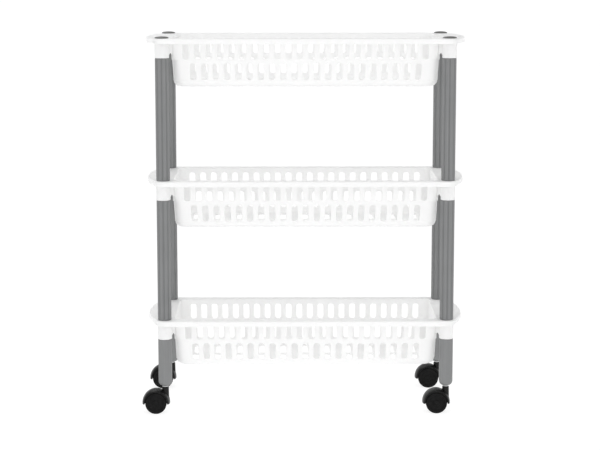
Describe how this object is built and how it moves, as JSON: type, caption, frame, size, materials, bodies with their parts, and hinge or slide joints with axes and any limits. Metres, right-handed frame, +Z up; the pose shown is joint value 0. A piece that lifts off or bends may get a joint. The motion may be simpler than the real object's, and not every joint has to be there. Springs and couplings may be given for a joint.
{
  "type": "basket trolley",
  "caption": "Slim rolling trolley: open plastic baskets one above the other on fluted tube posts with swivel twin-wheel casters.",
  "frame": {"origin": "on the floor at the middle of the trolley, between the four casters", "axes": "+Z up, X along the baskets with the casters trailing to -X, -Y to the front"},
  "size_m": [0.5313, 0.2, 0.6191],
  "materials": {
    "basket_white": "satin moulded white polypropylene",
    "tube_grey": "satin extruded grey plastic with shallow lengthwise flutes",
    "cap_grey": "satin moulded grey plastic",
    "socket_nylon": "natural nylon",
    "steel": "bright zinc-plated steel",
    "housing_black": "satin moulded black nylon",
    "wheel_black": "hard black plastic, slightly scuffed on the tread"
  },
  "bodies": {
    "root": {"bottom_basket": "basket_white", "middle_basket": "basket_white", "top_basket": "basket_white", "lower_tube_front_left": "tube_grey", "middle_tube_front_left": "tube_grey", "upper_tube_front_left": "tube_grey", "cap_front_left": "cap_grey", "caster_socket_front_left": "socket_nylon", "caster_stem_front_left": "steel", "grip_ring_front_left": "steel", "lower_tube_front_right": "tube_grey", "middle_tube_front_right": "tube_grey", "upper_tube_front_right": "tube_grey", "cap_front_right": "cap_grey", "caster_socket_front_right": "socket_nylon", "caster_stem_front_right": "steel", "grip_ring_front_right": "steel", "lower_tube_back_left": "tube_grey", "middle_tube_back_left": "tube_grey", "upper_tube_back_left": "tube_grey", "cap_back_left": "cap_grey", "caster_socket_back_left": "socket_nylon", "caster_stem_back_left": "steel", "grip_ring_back_left": "steel", "lower_tube_back_right": "tube_grey", "middle_tube_back_right": "tube_grey", "upper_tube_back_right": "tube_grey", "cap_back_right": "cap_grey", "caster_socket_back_right": "socket_nylon", "caster_stem_back_right": "steel", "grip_ring_back_right": "steel"},
    "caster_front_left": {"caster_housing_front_left": "housing_black", "caster_axle_front_left": "steel"},
    "front_wheel_front_left": {"front_wheel_front_left": "wheel_black"},
    "back_wheel_front_left": {"back_wheel_front_left": "wheel_black"},
    "caster_front_right": {"caster_housing_front_right": "housing_black", "caster_axle_front_right": "steel"},
    "front_wheel_front_right": {"front_wheel_front_right": "wheel_black"},
    "back_wheel_front_right": {"back_wheel_front_right": "wheel_black"},
    "caster_back_left": {"caster_housing_back_left": "housing_black", "caster_axle_back_left": "steel"},
    "front_wheel_back_left": {"front_wheel_back_left": "wheel_black"},
    "back_wheel_back_left": {"back_wheel_back_left": "wheel_black"},
    "caster_back_right": {"caster_housing_back_right": "housing_black", "caster_axle_back_right": "steel"},
    "front_wheel_back_right": {"front_wheel_back_right": "wheel_black"},
    "back_wheel_back_right": {"back_wheel_back_right": "wheel_black"}
  },
  "joints": [
    {"name": "swivel_front_left", "type": "hinge", "parent": "root", "child": "caster_front_left", "pos_m": [-0.231, -0.083, 0.0435], "axis": [0, 0, 1], "continuous": true},
    {"name": "roll_front_front_left", "type": "hinge", "parent": "caster_front_left", "child": "front_wheel_front_left", "pos_m": [-0.2465, -0.083, 0.0175], "axis": [0, 1, 0], "continuous": true},
    {"name": "roll_back_front_left", "type": "hinge", "parent": "caster_front_left", "child": "back_wheel_front_left", "pos_m": [-0.2465, -0.083, 0.0175], "axis": [0, 1, 0], "continuous": true},
    {"name": "swivel_front_right", "type": "hinge", "parent": "root", "child": "caster_front_right", "pos_m": [0.231, -0.083, 0.0435], "axis": [0, 0, 1], "continuous": true},
    {"name": "roll_front_front_right", "type": "hinge", "parent": "caster_front_right", "child": "front_wheel_front_right", "pos_m": [0.2155, -0.083, 0.0175], "axis": [0, 1, 0], "continuous": true},
    {"name": "roll_back_front_right", "type": "hinge", "parent": "caster_front_right", "child": "back_wheel_front_right", "pos_m": [0.2155, -0.083, 0.0175], "axis": [0, 1, 0], "continuous": true},
    {"name": "swivel_back_left", "type": "hinge", "parent": "root", "child": "caster_back_left", "pos_m": [-0.231, 0.083, 0.0435], "axis": [0, 0, 1], "continuous": true},
    {"name": "roll_front_back_left", "type": "hinge", "parent": "caster_back_left", "child": "front_wheel_back_left", "pos_m": [-0.2465, 0.083, 0.0175], "axis": [0, 1, 0], "continuous": true},
    {"name": "roll_back_back_left", "type": "hinge", "parent": "caster_back_left", "child": "back_wheel_back_left", "pos_m": [-0.2465, 0.083, 0.0175], "axis": [0, 1, 0], "continuous": true},
    {"name": "swivel_back_right", "type": "hinge", "parent": "root", "child": "caster_back_right", "pos_m": [0.231, 0.083, 0.0435], "axis": [0, 0, 1], "continuous": true},
    {"name": "roll_front_back_right", "type": "hinge", "parent": "caster_back_right", "child": "front_wheel_back_right", "pos_m": [0.2155, 0.083, 0.0175], "axis": [0, 1, 0], "continuous": true},
    {"name": "roll_back_back_right", "type": "hinge", "parent": "caster_back_right", "child": "back_wheel_back_right", "pos_m": [0.2155, 0.083, 0.0175], "axis": [0, 1, 0], "continuous": true}
  ]
}
